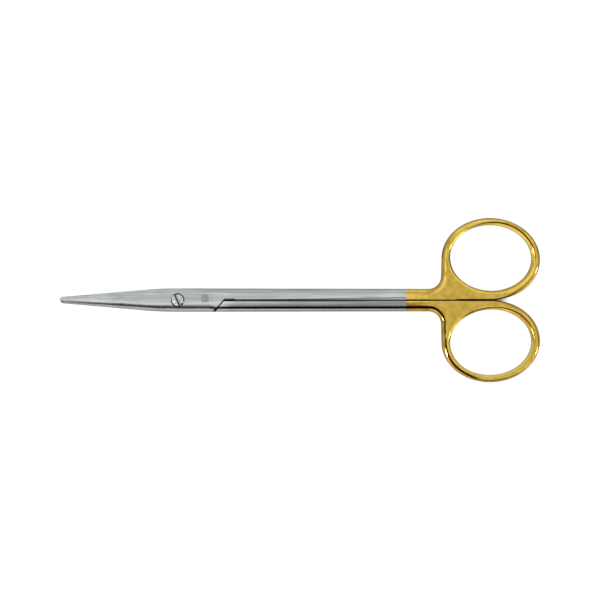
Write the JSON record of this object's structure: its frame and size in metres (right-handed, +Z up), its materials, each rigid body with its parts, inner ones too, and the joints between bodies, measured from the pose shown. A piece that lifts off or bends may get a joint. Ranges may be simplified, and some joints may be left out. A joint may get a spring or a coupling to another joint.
{
  "type": "dissecting scissors",
  "caption": "Fine dissecting scissors with gently curved blades, a flush slotted pivot screw, straight slim shanks and gold-plated oval finger rings.",
  "frame": {"origin": "under the middle of the closed scissors, on the surface that they lie on", "axes": "+X from the blade tips to the finger rings, +Z up from the face that they lie on, +Y towards the ring of the upper half"},
  "size_m": [0.145, 0.0498, 0.0078],
  "materials": {
    "forged_steel": "satin, brushed lengthwise; the shank ends and rings are polished gold plate",
    "carbide": "fine ground hard metal",
    "screw_steel": "satin"
  },
  "bodies": {
    "lower": {"lower_half": "forged_steel", "lower_carbide_insert": "carbide", "pivot_screw": "screw_steel"},
    "upper": {"upper_half": "forged_steel", "upper_carbide_insert": "carbide"}
  },
  "joints": [
    {"name": "pivot", "type": "hinge", "parent": "lower", "child": "upper", "pos_m": [-0.0371, 0, 0], "axis": [0, 0, 1], "range_deg": [0, 45]}
  ]
}
